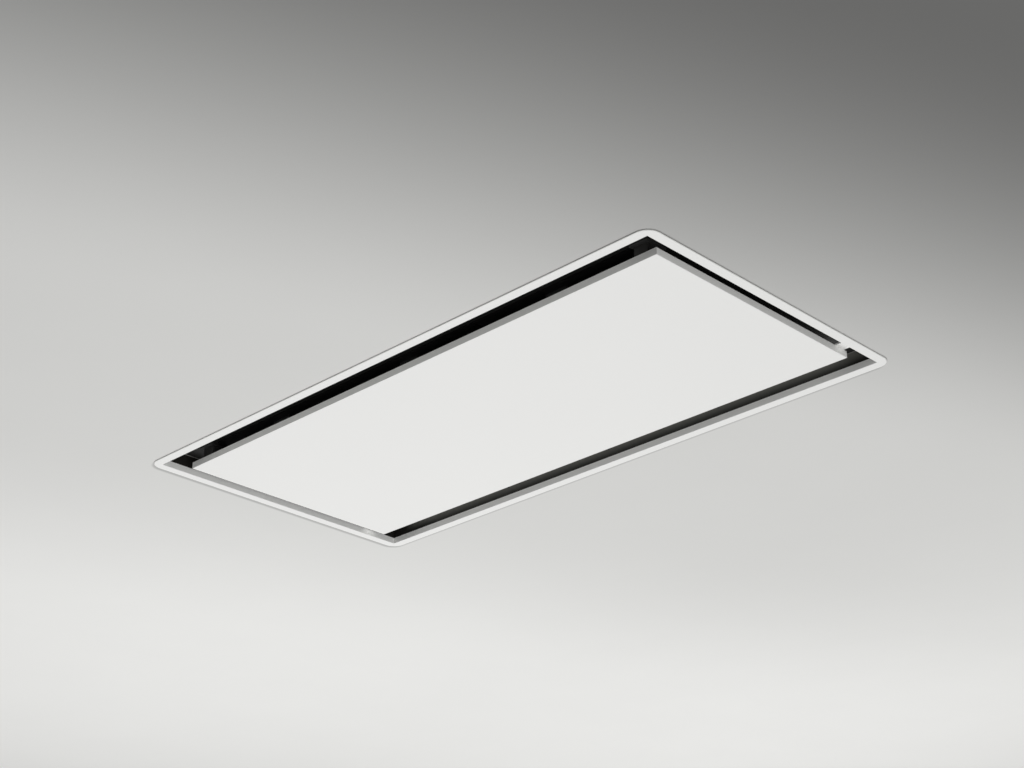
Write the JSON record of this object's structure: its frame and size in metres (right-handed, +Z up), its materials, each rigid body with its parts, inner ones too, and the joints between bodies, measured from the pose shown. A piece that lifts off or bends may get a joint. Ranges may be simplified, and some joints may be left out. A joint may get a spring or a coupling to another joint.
{
  "type": "ceiling range hood",
  "caption": "Flush ceiling range hood with a white perimeter-suction panel in a slim trim, hinged at its rear edge, and a galvanised blower housing with a round outlet above.",
  "frame": {"origin": "centre of the visible underside of trim and panel", "axes": "+X along the long side, +Y along the short side towards the panel's hinged edge, +Z up into the ceiling"},
  "size_m": [1, 0.5, 0.31],
  "materials": {
    "white_paint": "smooth satin white paint",
    "dark_paint": "semi-gloss dark grey paint",
    "deck_paint": "black paint",
    "dark_rivet": "blackened",
    "panel_back_aluminium": "mill finish sheet",
    "galvanised": "galvanised with spangle",
    "volute_zinc": "galvanised",
    "hanger_steel": "zinc plated",
    "zinc_steel": "bright zinc plated",
    "duct_plastic": "moulded black",
    "flap_plastic": "moulded dark grey",
    "motor_aluminium": "die cast",
    "grommet_rubber": "matt",
    "impeller_plastic": "moulded",
    "case_steel": "grey powder coat",
    "board_laminate": "green solder mask",
    "capacitor_shell": "white moulded",
    "gland_plastic": "light grey moulded",
    "driver_plastic": "white moulded",
    "ferrite": "sintered dark grey",
    "catch_plastic": "dark moulded",
    "channel_aluminium": "anodised",
    "opal_plastic": "opal diffuser",
    "led_board": "white solder mask",
    "filter_frame_black": "black anodised",
    "filter_mesh_black": "black anodised pleated mesh",
    "latch_plastic": "moulded black"
  },
  "bodies": {
    "housing": {"blower_box": "galvanised", "cable_gland": "gland_plastic", "capacitor": "capacitor_shell", "case_screws": "zinc_steel", "catch_body_left": "catch_plastic", "catch_body_right": "catch_plastic", "catch_magnets": "ferrite", "control_board": "board_laminate", "control_case": "case_steel", "control_lid": "case_steel", "damper_pin": "zinc_steel", "duct_collar": "duct_plastic", "filter_deck": "deck_paint", "filter_frame_1": "filter_frame_black", "filter_frame_2": "filter_frame_black", "filter_frame_3": "filter_frame_black", "filter_mesh_1": "filter_mesh_black", "filter_mesh_2": "filter_mesh_black", "filter_mesh_3": "filter_mesh_black", "hanger_front_left": "hanger_steel", "hanger_front_right": "hanger_steel", "hanger_rear_left": "hanger_steel", "hanger_rear_right": "hanger_steel", "hinge_bracket_left": "dark_paint", "hinge_bracket_right": "dark_paint", "hinge_pin_left": "zinc_steel", "hinge_pin_right": "zinc_steel", "inlet_guard": "zinc_steel", "inner_collar": "dark_paint", "led_driver": "driver_plastic", "light_board_front": "led_board", "light_board_rear": "led_board", "light_channel_front": "channel_aluminium", "light_channel_rear": "channel_aluminium", "light_diffuser_front": "opal_plastic", "light_diffuser_rear": "opal_plastic", "motor_body": "motor_aluminium", "motor_bracket": "zinc_steel", "motor_grommets": "grommet_rubber", "plenum_shell": "galvanised", "trim_frame": "white_paint", "volute_screws": "zinc_steel", "volute_side_left": "volute_zinc", "volute_side_right": "volute_zinc", "volute_wrap": "volute_zinc", "wall_rivets": "dark_rivet"},
    "panel": {"panel_tray": "white_paint", "panel_back": "panel_back_aluminium", "hinge_arm_left": "white_paint", "hinge_arm_right": "white_paint", "striker_left": "zinc_steel", "striker_right": "zinc_steel", "arm_screws": "zinc_steel"},
    "rotor": {"impeller": "impeller_plastic", "motor_shaft": "zinc_steel"},
    "flap_rear": {"damper_flap_rear": "flap_plastic"},
    "flap_front": {"damper_flap_front": "flap_plastic"},
    "latch_1": {"filter_latch_1": "latch_plastic"},
    "latch_2": {"filter_latch_2": "latch_plastic"},
    "latch_3": {"filter_latch_3": "latch_plastic"}
  },
  "joints": [
    {"name": "panel_hinge", "type": "hinge", "parent": "housing", "child": "panel", "pos_m": [0, 0.1825, 0.016], "axis": [1, 0, 0], "range_deg": [0, 88]},
    {"name": "fan_spin", "type": "hinge", "parent": "housing", "child": "rotor", "pos_m": [0, -0.05413, 0.165], "axis": [1, 0, 0], "continuous": true},
    {"name": "flap_rear_hinge", "type": "hinge", "parent": "housing", "child": "flap_rear", "pos_m": [0, 0, 0.282], "axis": [1, 0, 0], "range_deg": [0, 75]},
    {"name": "flap_front_hinge", "type": "hinge", "parent": "housing", "child": "flap_front", "pos_m": [0, 0, 0.282], "axis": [-1, 0, 0], "range_deg": [0, 75]},
    {"name": "latch_slide_1", "type": "slide", "parent": "housing", "child": "latch_1", "axis": [0, 1, 0], "range_m": [0, 0.006], "stiffness_N_per_m": 500, "springref_m": -0.004},
    {"name": "latch_slide_2", "type": "slide", "parent": "housing", "child": "latch_2", "axis": [0, 1, 0], "range_m": [0, 0.006], "stiffness_N_per_m": 500, "springref_m": -0.004},
    {"name": "latch_slide_3", "type": "slide", "parent": "housing", "child": "latch_3", "axis": [0, 1, 0], "range_m": [0, 0.006], "stiffness_N_per_m": 500, "springref_m": -0.004}
  ]
}
